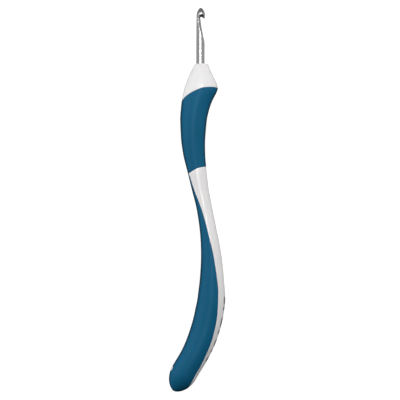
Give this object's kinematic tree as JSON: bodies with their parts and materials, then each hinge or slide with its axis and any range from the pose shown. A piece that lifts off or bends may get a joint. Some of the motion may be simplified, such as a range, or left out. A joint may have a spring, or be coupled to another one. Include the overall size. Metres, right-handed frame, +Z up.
{
  "type": "crochet hook",
  "caption": "Hand crochet hook: slim metal needle with a lipped throat, moulded into an S-curved hard plastic handle with soft teal grips.",
  "frame": {"origin": "on the shank's axis, at the mouth of the handle's nose", "axes": "+Y along the shank to the hook tip, +X to the side the throat opens to, +Z up through the tool's thickness as it lies on its side"},
  "size_m": [0.0236, 0.1604, 0.0134],
  "materials": {
    "needle_metal": "bright satin polish, drawn lengthways",
    "hard_plastic": "smooth gloss moulding, white",
    "soft_grip": "matte soft-touch moulding, teal blue"
  },
  "bodies": {
    "root": {"hook_needle": "needle_metal", "handle_core": "hard_plastic", "front_grip": "soft_grip", "rear_grip": "soft_grip"}
  },
  "joints": []
}
